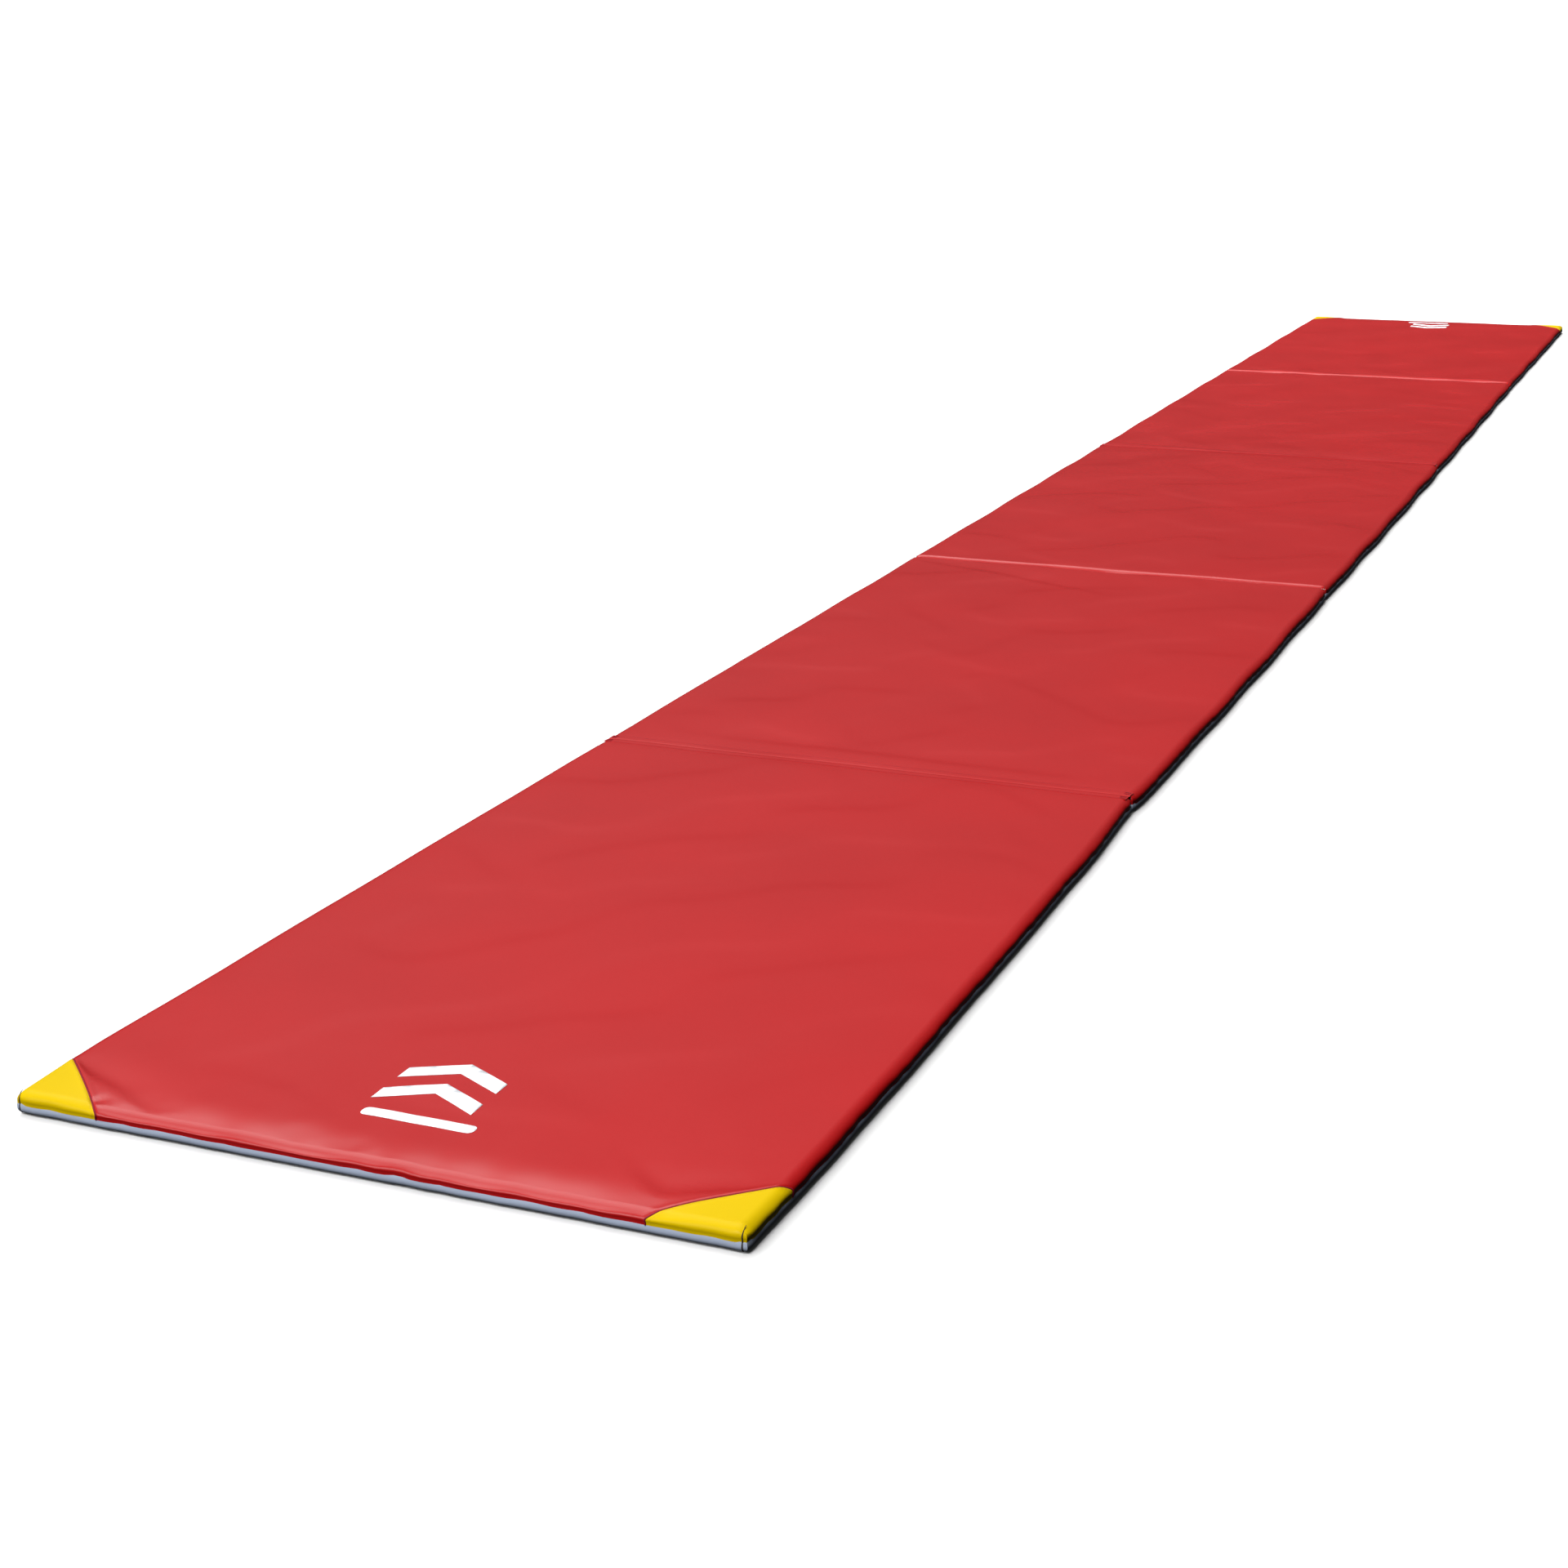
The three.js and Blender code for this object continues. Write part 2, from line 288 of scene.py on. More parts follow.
def height(x, y):
    """How far the cover's top stands above its own level at (x, y)."""
    u = x - NEAR
    from_side = np.minimum(LEFT - y, y - RIGHT)
    from_end = np.minimum(u, FAR - x)
    rise = BROAD_RISE * BROAD(x, y) + CROSS_RISE * CROSS(x, y) * smooth(u, 2.0, 9.0)
    rise = rise + simulated(x, y)
    ripples = END_RIPPLE * RIPPLE(0.3 * x, y) * np.exp(-u / END_RIPPLE_REACH)
    ripples = ripples * (0.35 + 0.65 * bell(y, 0.36))
    fall = SIDE_ROLL * np.exp(-from_side / 0.016) + END_ROLL * np.exp(-from_end / 0.018)
    fall = fall + end_fall(from_end, from_side, y)
    dips = np.where(y > 0, LEFT_DIP, RIGHT_DIP) * np.exp(-from_side / 0.035)
    dips = dips * np.clip(0.4 + SCALLOP(x, 3.0 * y), 0, 2)
    total = rise + ripples - fall - dips - fold_fall(x, y) - crease_depth(x, y)
    return np.clip(total, LOWEST, HIGHEST)


def sway(x, left):
    """How far a long wall stands out of line, along +Y."""
    if left:
        at = (-5, -4.85, -4.2, -3, -2.4, -1.6, 0.8, 1.8, 3.2, 5)
        out = (3, 9, 7, 6, 4, 1, 1, 3, 4, 2)
    else:
        at = (-5, -4.7, -4.2, -3.4, -3.02, -2.94, -1.8, 1.2, 2.6, 5)
        out = (-3, -9, -8, -5, 6, 0, -5, -6, -1, 0)
    line = np.interp(x, at, out) / 1000
    return line + (0.0009 if left else 0.0016) * SCALLOP(x, 1.0 if left else -1.0)


def settle(points):
    """Moves points of the plain block shape to where the cover has settled. An (N, 3) array."""
    x, y, z = points.T
    share = np.clip((z - SEAM - 0.003) / (TOP - SEAM - 0.007), 0, 1)
    by_end = 1 - smooth(np.minimum(x - NEAR, FAR - x), 0.05, 0.12)
    curved = smooth(share, 0.0, 1.0)
    weight_top = curved + (share - curved) * by_end
    inner_x = np.clip(x, NEAR + 0.008, FAR - 0.008)
    inner_y = np.clip(y, RIGHT + 0.008, LEFT - 0.008)
    dz = weight_top * (height(inner_x, inner_y) - TOP_SETTLE)
    right = smooth(-y, 0.35, -RIGHT) * sway(x, False)
    left = smooth(y, 0.40, LEFT) * sway(x, True) * smooth(z, SEAM + 0.009, TOP - 0.002)
    return np.stack([x, y + right + left, z + dz], axis=1)


def settle_foam(points):
    """Like settle, but as low as the cover comes anywhere within half a foam cell of a point."""
    settled = settle(points)
    steps = (-FOAM_CELL / 2, 0.0, FOAM_CELL / 2)
    for dx in steps:
        for dy in steps:
            moved = settle(points + np.array([dx, dy, 0.0]))
            settled[:, 2] = np.minimum(settled[:, 2], moved[:, 2])
    return settled


# Mesh pieces

def grid_lines(low, high, cell, extra=()):
    """Lines from low to high, a cell apart, closer together by both ends, and some at extra."""
    near = [low + o for o in EDGE_OFFSETS]
    far = [high - o for o in EDGE_OFFSETS]
    span = far[-1] - near[-1]
    count = max(2, round(span / cell))
    middle = [near[-1] + span * i / count for i in range(1, count)]
    kept = [m for m in middle if all(abs(m - e) > cell * 0.4 for e in extra)]
    return np.array(sorted(near + kept + list(extra) + far))


def round_corners(x, y, low, high, radius):
    """Pulls the corners of a rectangle of grid points in, on to a rounded outline."""
    core_x = np.clip(x, low[0] + radius, high[0] - radius)
    core_y = np.clip(y, low[1] + radius, high[1] - radius)
    dx, dy = x - core_x, y - core_y
    longest = np.maximum(np.abs(dx), np.abs(dy))
    length = np.hypot(dx, dy)
    scale = np.where(length > 1e-9, longest / np.maximum(length, 1e-9), 1.0)
    return core_x + dx * scale, core_y + dy * scale


def quads(index):
    """The faces between the points of a grid, from the grid of their numbers."""
    corners = [index[:-1, :-1], index[1:, :-1], index[1:, 1:], index[:-1, 1:]]
    return np.stack([c.ravel() for c in corners], axis=1)


class Tray:
    """A flat face with rounded corners and a rim of rings that turn down into its walls."""

    def __init__(self, xs, ys, z, rings, bulge):
        low, high = (xs[0], ys[0]), (xs[-1], ys[-1])
        radius = 0.0015
        gx, gy = np.meshgrid(xs, ys, indexing="ij")
        px, py = round_corners(gx, gy, low, high, radius)
        flat = np.stack([px.ravel(), py.ravel(), np.full(px.size, z)], axis=1)
        nx, ny = len(xs), len(ys)
        index = np.arange(nx * ny).reshape(nx, ny)
        self.loop = np.concatenate([index[:, 0], index[-1, 1:], index[-2::-1, -1], index[0, -2:0:-1]])
        self.out = self.loop_normals(px.ravel()[self.loop], py.ravel()[self.loop], low, high, radius)
        faces = [quads(index)]
        points = [flat]
        ring = self.loop
        edge = flat[self.loop]
        self.rings = [ring]
        for outward, ring_z in rings:
            extra = bulge(edge[:, 0], edge[:, 1], self.out, ring_z)
            place = edge + np.column_stack([self.out * (outward + extra)[:, None], np.zeros(len(edge))])
            place[:, 2] = ring_z
            fresh = np.arange(len(ring)) + sum(len(p) for p in points)
            after, fresh_after = np.roll(ring, -1), np.roll(fresh, -1)
            faces.append(np.stack([ring, fresh, fresh_after, after], axis=1))
            points.append(place)
            self.rings.append(fresh)
            ring = fresh
        self.points = np.concatenate(points)
        self.faces = np.concatenate(faces)

    @staticmethod
    def loop_normals(x, y, low, high, radius):
        dx = x - np.clip(x, low[0] + radius, high[0] - radius)
        dy = y - np.clip(y, low[1] + radius, high[1] - radius)
        length = np.maximum(np.hypot(dx, dy), 1e-9)
        dx, dy = dx / length, dy / length
        reach = np.maximum(np.abs(dx), np.abs(dy)) ** -CORNER_POINT
        return np.column_stack([dx * reach, dy * reach])


def panel_span(number):
    low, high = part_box(f"foam_core_{number}")
    skin = low.z
    return low.x - skin, high.x + skin


def fold_sides(number, x, out):
    """Which points of a panel's rim face the panel before it, and which the one after it."""
    x0, x1 = panel_span(number)
    before = (np.abs(x - x0) < 0.05) & (out[:, 0] < -0.3) & (number > 1)
    after = (np.abs(x - x1) < 0.05) & (out[:, 0] > 0.3) & (number < PANELS)
    return before, after


def squarer(number, x, out, z, drop):
    """Extra outward reach of the top edge where a sheet bridges the fold, so that it has a bed."""
    before, after = fold_sides(number, x, out)
    bridged = before if number % 2 == 0 else after
    level = max(0.0, 1 - (TOP - z) / drop)
    round_out = math.sqrt(max(0.0, 1 - level * level))
    return np.where(bridged, TOP_RADIUS * (math.sqrt(round_out) - round_out), 0.0)


def wall_bulge(number, z_low, z_high):
    """How far a wall stands out at a height: a swell between its seams, and short puckers."""
    drop = TOP - zip_box(number)[1].z

    def bulge(x, y, out, z):
        share = np.clip((z - z_low) / max(z_high - z_low, 1e-6), 0, 1)
        swell = WALL_BULGE * math.sin(math.pi * share)
        pucker = 0.0006 * PUCKER(x, y) * math.sin(math.pi * min(1.0, 0.25 + share))
        if z_low == z_high:
            return np.zeros(len(x))
        before, after = fold_sides(number, x, out)
        zip_side = out[:, 1] > 0.9
        amount = np.where(before | after, FOLD_ENDS_BULGE, 1.0)
        amount = np.where(zip_side, 0.0, amount)
        square = squarer(number, x, out, z, drop) if z_high == TOP else 0.0
        return amount * (swell + pucker) + square

    return bulge


def edge_rings(z_flat, z_open, wall_heights, lip, radius, fall=None):
    """Rings of (outward, z): a quarter round from the flat face, then down the wall."""
    fall = fall or radius
    sign = 1.0 if z_open < z_flat else -1.0
    rings = []
    for step in range(1, EDGE_STEPS + 1):
        a = math.pi / 2 * step / EDGE_STEPS
        drop = fall * (1 - math.cos(a))
        rings.append((radius * math.sin(a), z_flat - sign * drop))
    rings += [(radius, z) for z in wall_heights]
    rings.append((radius + lip, z_open))
    return rings


def sheet_grid(xs, ys):
    """A flat sheet of quads over the grid lines, as points and faces."""
    gx, gy = np.meshgrid(xs, ys, indexing="ij")
    index = np.arange(gx.size).reshape(gx.shape)
    return gx.ravel(), gy.ravel(), quads(index)


def seam_pull(number, x, y):
    """How tightly the top is drawn in at (x, y), from 0 to 1: by its rim and its patch seams."""
    x0, x1 = panel_span(number)
    rim = np.minimum(np.minimum(x - x0, x1 - x), np.minimum(y - RIGHT, LEFT - y))
    pull = 0.35 * bell(rim, 0.030)
    for corner in PATCHES.get(number, ()):
        point, outward = seam_plane(corner)
        gap = beyond((x, y), point, outward)
        pull = np.maximum(pull, bell(gap, 0.020))
    return pull, rim


def soften(grid, passes=9):
    """Averages each inner point of a grid with its neighbours, a few times over."""
    grid = grid.copy()
    for _ in range(passes):
        beside = grid[:-2, 1:-1] + grid[2:, 1:-1] + grid[1:-1, :-2] + grid[1:-1, 2:]
        grid[1:-1, 1:-1] = 0.5 * grid[1:-1, 1:-1] + 0.125 * beside
    return grid


def relax_top(number):
    """Simulates a panel's top as cloth held at its rim, under light pressure and gathered at seams."""
    x0, x1 = panel_span(number)
    xs = np.linspace(x0, x1, round((x1 - x0) / SIM_CELL) + 1)
    ys = np.linspace(RIGHT, LEFT, round((LEFT - RIGHT) / SIM_CELL) + 1)
    x, y, faces = sheet_grid(xs, ys)
    start = 0.0006 * BROAD(x, y) + 0.0001 * RIPPLE(x, y)
    mesh = bpy.data.meshes.new("sheet")
    mesh.from_pydata(np.stack([x, y, start], axis=1).tolist(), [], faces.tolist())
    sheet = add_object("sheet", mesh)
    pull, rim = seam_pull(number, x, y)
    held, drawn = sheet.vertex_groups.new(name="held"), sheet.vertex_groups.new(name="drawn")
    held.add(np.nonzero(rim < 1e-6)[0].tolist(), 1.0, "REPLACE")
    for index, amount in enumerate(pull):
        drawn.add([index], float(amount), "REPLACE")
    set_cloth(sheet)
    scene = bpy.context.scene
    for step in range(1, SIM_FRAMES + 1):
        scene.frame_set(step)
    settled = sheet.evaluated_get(bpy.context.evaluated_depsgraph_get())
    places = np.array([v.co for v in settled.data.vertices])
    scene.frame_set(1)
    bpy.data.objects.remove(sheet)
    lifted = (places[:, 2] - np.mean(places[:, 2])) * smooth(rim, 0.0, 0.05)
    SETTLED[number] = (xs, ys, SIM_CAP * np.tanh(soften(lifted.reshape(len(xs), len(ys))) / SIM_CAP))


def set_cloth(sheet):
    cloth = sheet.modifiers.new("cloth", "CLOTH").settings
    cloth.quality = 5
    cloth.mass = 0.5
    cloth.air_damping = 4
    cloth.tension_stiffness = 40
    cloth.compression_stiffness = 40
    cloth.shear_stiffness = 20
    cloth.bending_stiffness = 4
    cloth.use_pressure = True
    cloth.uniform_pressure_force = 0.05
    cloth.effector_weights.gravity = 0
    cloth.vertex_group_mass = "held"
    cloth.vertex_group_shrink = "drawn"
    cloth.shrink_min = -SIM_SLACK
    cloth.shrink_max = SIM_GATHER


def zip_box(number):
    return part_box(f"zip_tape_{number}")


def top_tray(number):
    x0, x1 = panel_span(number)
    low, high = zip_box(number)
    xs = grid_lines(x0 + TOP_RADIUS, x1 - TOP_RADIUS, CELL_ALONG, (low.x, high.x))
    ys = grid_lines(RIGHT + TOP_RADIUS, LEFT - TOP_RADIUS, CELL_ACROSS)
    heights = (0.0225, 0.0195)
    rings = edge_rings(TOP, SEAM - HEM_OVERLAP, heights, HEM_PROUD, TOP_RADIUS, TOP - high.z)
    return Tray(xs, ys, TOP, rings, wall_bulge(number, SEAM, TOP))


def base_tray(number):
    x0, x1 = panel_span(number)
    low, high = zip_box(number)
    xs = grid_lines(x0 + BASE_RADIUS, x1 - BASE_RADIUS, CELL_ALONG * 2, (low.x, high.x))
    ys = grid_lines(RIGHT + BASE_RADIUS, LEFT - BASE_RADIUS, CELL_ACROSS * 2)
    rings = edge_rings(BASE_LIFT, SEAM + HEM_TUCK, (low.z, 0.0165), -HEM_BEHIND, BASE_RADIUS)
    return Tray(xs, ys, BASE_LIFT, rings, wall_bulge(number, BASE_LIFT, SEAM))


def foam_block(number):
    """The top and base halves of the foam, a little inside the cover all round."""
    x0, x1 = panel_span(number)
    reach = FOAM_INSET + TOP_RADIUS
    xs = grid_lines(x0 + reach, x1 - reach, FOAM_CELL)
    ys = grid_lines(RIGHT + reach, LEFT - reach, FOAM_CELL)
    flat = wall_bulge(number, SEAM, SEAM)
    level = TOP - FOAM_DROP
    top = Tray(xs, ys, level, edge_rings(level, SEAM, (), 0.0, TOP_RADIUS, level - SEAM - 0.004), flat)
    low = BASE_LIFT + 2 * SKIN
    rings = edge_rings(low, SEAM, (), 0.0, TOP_RADIUS, SEAM - low - 0.004)
    return top, Tray(xs, ys, low, rings, flat)


def add_object(name, data):
    obj = bpy.data.objects.new(name, data)
    bpy.context.scene.collection.objects.link(obj)
    return obj


def to_bmesh(points, faces, flipped=False):
    bm = bmesh.new()
    verts = [bm.verts.new(p) for p in points]
    for face in faces:
        order = face[::-1] if flipped else face
        bm.faces.new([verts[i] for i in order])
    bm.normal_update()
    return bm


def to_object(bm, name, material, thickness=0.0):
    mesh = bpy.data.meshes.new(name)
    if thickness:
        bmesh.ops.solidify(bm, geom=bm.faces[:], thickness=thickness)
    bm.normal_update()
    bm.to_mesh(mesh)
    bm.free()
    mesh.polygons.foreach_set("use_smooth", [True] * len(mesh.polygons))
    mesh.set_sharp_from_angle(angle=math.radians(50))
    mesh.materials.append(material)
    return add_object(name, mesh)


def stand_for(piece, body, node):
    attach(piece, body)
    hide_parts(node)


def move_points(bm, change):
    points = np.array([v.co for v in bm.verts])
    for vert, place in zip(bm.verts, change(points)):
        vert.co = place
    bm.normal_update()


def cut(bm, place, normal):
    geom = bm.verts[:] + bm.edges[:] + bm.faces[:]
    bmesh.ops.bisect_plane(bm, geom=geom, plane_co=place, plane_no=normal, dist=1e-6)


def drop_faces(bm, test):
    gone = [f for f in bm.faces if test(f.calc_center_median())]
    bmesh.ops.delete(bm, geom=gone, context="FACES")


# Materials

def new_material(name, colour, roughness, specular=0.3, metallic=0.0):
    material = bpy.data.materials.new(name)
    material.use_nodes = True
    nodes = material.node_tree.nodes
    shader = nodes["Principled BSDF"]
    shader.inputs["Base Color"].default_value = (*colour, 1)
    shader.inputs["Roughness"].default_value = roughness
    shader.inputs["Specular IOR Level"].default_value = specular
    shader.inputs["Metallic"].default_value = metallic
    return material, material.node_tree, shader


def add_node(tree, kind, **settings):
    node = tree.nodes.new(kind)
    for key, value in settings.items():
        if key in node.inputs:
            node.inputs[key].default_value = value
        else:
            setattr(node, key, value)
    return node


def position(tree):
    return add_node(tree, "ShaderNodeTexCoord").outputs["Object"]


def noise_at(tree, scale, detail=2.0, roughness=0.5, normalize=True):
    noise = add_node(tree, "ShaderNodeTexNoise", Scale=scale, Detail=detail, Roughness=roughness)
    noise.normalize = normalize
    tree.links.new(position(tree), noise.inputs["Vector"])
    return noise.outputs["Fac"]


def vary_colour(tree, shader, fac, dark, light):
    ramp = add_node(tree, "ShaderNodeValToRGB")
    for element, place, colour in zip(ramp.color_ramp.elements, (0.35, 0.65), (dark, light)):
        element.position = place
        element.color = (*colour, 1)
    tree.links.new(fac, ramp.inputs["Fac"])
    tree.links.new(ramp.outputs["Color"], shader.inputs["Base Color"])


def vary_roughness(tree, shader, fac, low, high):
    spread = add_node(tree, "ShaderNodeMapRange", **{"To Min": low, "To Max": high})
    tree.links.new(fac, spread.inputs["Value"])
    tree.links.new(spread.outputs["Result"], shader.inputs["Roughness"])


def add_bump(tree, shader, fac, strength, distance, under=None):
    bump = add_node(tree, "ShaderNodeBump", Strength=strength, Distance=distance)
    tree.links.new(fac, bump.inputs["Height"])
    if under is not None:
        tree.links.new(under.outputs["Normal"], bump.inputs["Normal"])
    tree.links.new(bump.outputs["Normal"], shader.inputs["Normal"])
    return bump


def scaled(colour, factor):
    return tuple(c * factor for c in colour)


def vinyl(name, colour, roughness=0.23, specular=0.36, mottle=0.03):
    """Coated cloth: a fine grain, a faint weave showing through and slow changes of shade."""
    material, tree, shader = new_material(name, colour, roughness, specular)
    slow = noise_at(tree, 2.2, 3.0)
    vary_colour(tree, shader, slow, scaled(colour, 1 - mottle), scaled(colour, 1 + mottle))
    vary_roughness(tree, shader, noise_at(tree, 6.0, 4.0), roughness - 0.05, roughness + 0.07)
    grain = add_bump(tree, shader, noise_at(tree, 700.0, 3.0, 0.6, False), 0.08, 0.0001)
    add_bump(tree, shader, noise_at(tree, 45.0, 1.0, 0.5, False), 0.05, 0.0003, grain)
    return material


RED = (0.408, 0.005, 0.006)
YELLOW = (0.640, 0.440, 0.0004)
GREY = (0.390, 0.450, 0.580)

red_vinyl = vinyl("red_vinyl", RED)
yellow_vinyl = vinyl("yellow_vinyl", YELLOW, roughness=0.30, specular=0.06)
grey_vinyl = vinyl("grey_vinyl", GREY, roughness=0.38)


def plain(name, colour, roughness, specular=0.3, metallic=0.0, grain=300.0, strength=0.2):
    material, tree, shader = new_material(name, colour, roughness, specular, metallic)
    fac = noise_at(tree, grain, 3.0)
    vary_colour(tree, shader, fac, scaled(colour, 0.85), scaled(colour, 1.12))
    add_bump(tree, shader, fac, strength, 0.0004)
    return material


foam_material = plain("cut_foam", (0.69, 0.66, 0.56), 0.95, 0.1, grain=220.0, strength=0.6)
tape_material = plain("woven_tape", (0.018, 0.018, 0.022), 0.85, 0.2, grain=900.0)
teeth_material = plain("zip_teeth", (0.030, 0.030, 0.034), 0.45, 0.4, grain=500.0)
# near-black cord on the upright corner seams: partly a real cord, partly painted shade of the seam's groove
cord_and_groove_shade = plain("dark_cord_and_groove_shade", (0.030, 0.020, 0.016), 0.7, grain=900.0)
# dark red thread; on the patch seams' cords its darkness also paints the shade in the seam's groove
red_thread_and_seam_shade = plain("red_thread_and_seam_shade", (0.22, 0.003, 0.016), 0.7, grain=1500.0)
thread_yellow = plain("thread_yellow", (0.75, 0.50, 0.02), 0.6, grain=1500.0)
thread_grey = plain("thread_grey", (0.20, 0.22, 0.28), 0.7, grain=1500.0)
metal = plain("zip_metal", (0.55, 0.56, 0.58), 0.32, 0.5, 1.0, grain=120.0, strength=0.05)
print_ink = plain("print_ink", (0.86, 0.88, 0.92), 0.45, 0.3, grain=60.0, strength=0.03)


# Sewing

PATCH_STITCH = (0.0060, 0.0046, 0.0010)  # pitch, length and width
FOLD_STITCH = (0.0055, 0.0042, 0.0009)
TACK_STITCH = (0.0060, 0.0072, 0.0013)
ZIP_STITCH = (0.0050, 0.0038, 0.0008)
PATCH_BEAD = (0.0030, 0.0011)  # width and rise
CORNER_BEAD = (0.0022, 0.0009)


def stitches(name, rows, material, body, slot):
    """One piece of short raised stitches. A row is (points, outward normals, pitch, length, width)."""
    points, faces = [], []
    for path, normals, pitch, length, width in rows:
        path, normals = np.asarray(path, float), np.asarray(normals, float)
        steps = np.linalg.norm(np.diff(path, axis=0), axis=1)
        along = np.concatenate([[0], np.cumsum(steps)])
        count = int(along[-1] / pitch)
        for k in range(count):
            middle = (k + 0.5) * along[-1] / count
            place = np.array([np.interp(middle, along, path[:, i]) for i in range(3)])
            ahead = np.array([np.interp(middle + 1e-4, along, path[:, i]) for i in range(3)])
            up = np.array([np.interp(middle, along, normals[:, i]) for i in range(3)])
            up /= np.linalg.norm(up)
            run = (ahead - place) / max(np.linalg.norm(ahead - place), 1e-9)
            across = np.cross(up, run)
            start = len(points)
            points += [
                place - run * length / 2,
                place - across * width / 2,
                place + run * length / 2,
                place + across * width / 2,
                place + up * width * 0.45,
                place - up * width * 0.45,
            ]
            for a, b in ((0, 1), (1, 2), (2, 3), (3, 0)):
                faces.append((start + a, start + b, start + 4))
                faces.append((start + b, start + a, start + 5))
    return finish_piece(points, faces, name, material, body, slot)


def bead(name, path, normals, width, rise, material, body, slot):
    """A raised cord sewn along a seam: a low rounded section run along a path on the cover."""
    path, normals = np.asarray(path, float), np.asarray(normals, float)
    run = np.gradient(path, axis=0)
    run /= np.linalg.norm(run, axis=1)[:, None]
    across = np.cross(normals, run)
    points, faces = [], []
    section = [(math.cos(a), math.sin(a)) for a in np.linspace(0, math.tau, 9)[:-1]]
    for place, up, side in zip(path, normals, across):
        points += [place + side * width / 2 * c + up * rise * s for c, s in section]
    ring = len(section)
    for k in range(len(path) - 1):
        for i in range(ring):
            j = (i + 1) % ring
            faces.append((k * ring + i, k * ring + j, (k + 1) * ring + j, (k + 1) * ring + i))
    faces.append(tuple(range(ring))[::-1])
    faces.append(tuple((len(path) - 1) * ring + i for i in range(ring)))
    return finish_piece(points, faces, name, material, body, slot)


def finish_piece(points, faces, name, material, body, slot):
    mesh = bpy.data.meshes.new(name)
    mesh.from_pydata(points, [], faces)
    bm = bmesh.new()
    bm.from_mesh(mesh)
    bpy.data.meshes.remove(mesh)
    bmesh.ops.recalc_face_normals(bm, faces=bm.faces)
    piece = to_object(bm, name, material)
    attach(piece, body)
    return piece


# Covers

def seam_plane(corner, offset=0.0):
    """A corner patch's seam: a point on it and the direction out towards the corner, in plan."""
    low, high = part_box(f"corner_patch_{corner}")
    near, left = "near" in corner, "left" in corner
    on_end = Vector((NEAR if near else FAR, low.y if left else high.y, 0))
    on_side = Vector((high.x if near else low.x, LEFT if left else RIGHT, 0))
    along = (on_side - on_end).normalized()
    outward = Vector((along.y, -along.x, 0))
    towards = Vector((NEAR if near else FAR, LEFT if left else RIGHT, 0)) - on_end
    if outward.dot(towards) < 0:
        outward = -outward
    return on_end + outward * offset, outward


STITCH_ROW = 0.005  # of the stitches on a patch, from its seam
SEAM_CUTS = (-0.014, -0.008, -0.005, -0.003, -0.0015, 0.0, 0.0015, 0.003, 0.005, 0.008, 0.014)
PATCHES = {1: ("near_left", "near_right"), PANELS: ("far_left", "far_right")}


def beyond(place, point, outward):
    """How far a place lies past a patch's seam, towards the corner."""
    return (place[0] - point.x) * outward.x + (place[1] - point.y) * outward.y


def cut_seams(bm, corners):
    for corner in corners:
        point, outward = seam_plane(corner)
        for offset in SEAM_CUTS:
            cut(bm, point + outward * offset, outward)


def groove(points, corners):
    """Lowers the cover along the patch seams and swells it on both sides of them."""
    x, y, z = points.T
    dz = np.zeros(len(points))
    for corner in corners:
        point, outward = seam_plane(corner)
        gap = beyond((x, y), point, outward)
        dz += SEAM_SWELL * bell(np.abs(gap) - 0.005, 0.003) - SEAM_GROOVE * bell(gap, 0.0018)
    dz *= smooth(z, TOP - 0.010, TOP - 0.004)
    return np.stack([x, y, z + dz], axis=1)


def cut_zip_slot(bm, number, above):
    low, high = zip_box(number)

    def inside(c):
        beside = low.x < c.x < high.x and c.y > LEFT - 0.002
        return beside and (c.z < high.z if above else c.z > low.z)

    drop_faces(bm, inside)


def dress_top(number):
    tray = top_tray(number)
    bm = to_bmesh(tray.points, tray.faces)
    cut_zip_slot(bm, number, True)
    corners = PATCHES.get(number, ())
    cut_seams(bm, corners)
    seams = {corner: on_seam(bm, *seam_plane(corner)) for corner in corners}
    rows = {corner: on_seam(bm, *seam_plane(corner, STITCH_ROW)) for corner in corners}
    mark_patches(bm, corners)
    move_points(bm, lambda p: settle(groove(p, corners)))
    for mark, corner in enumerate(corners, start=1):
        sew_patch(seams[corner], rows[corner], corner, f"panel_{number}")
        dress_patch(bm, corner, mark, number)
    keep_marked(bm, 0)
    piece = to_object(bm, f"red_cover_{number}", red_vinyl, SKIN)
    stand_for(piece, f"panel_{number}", f"top_cover_{number}")


def sew_patch(seam, row, corner, body):
    """The rolled edge along a patch's seam, dark red as a cord and as painted shade of its groove, and the row of
    stitches beside it on the patch.
    """
    normals = np.array([v.normal for v in seam])
    path = np.array([v.co for v in seam]) + normals * 0.0003
    bead(f"seam_{corner}", path, normals, *PATCH_BEAD, red_thread_and_seam_shade, body, "red_vinyl")
    normals = np.array([v.normal for v in row])
    path = np.array([v.co for v in row]) + normals * 0.0001
    rows = [(path, normals, *PATCH_STITCH)]
    stitches(f"patch_stitches_{corner}", rows, thread_yellow, body, "yellow_vinyl")


def on_seam(bm, point, outward):
    """The vertices along a patch's seam, in order. Both seam ends are at the bottom of a wall."""
    line = {v for v in bm.verts if abs(beyond(v.co, point, outward)) < 1e-5}
    ends = [v for v in line if v.is_boundary]
    ordered = [ends[0]]
    while True:
        linked = [e.other_vert(ordered[-1]) for e in ordered[-1].link_edges]
        after = [v for v in linked if v in line and v not in ordered[-2:]]
        if not after:
            return ordered
        ordered.append(after[0])


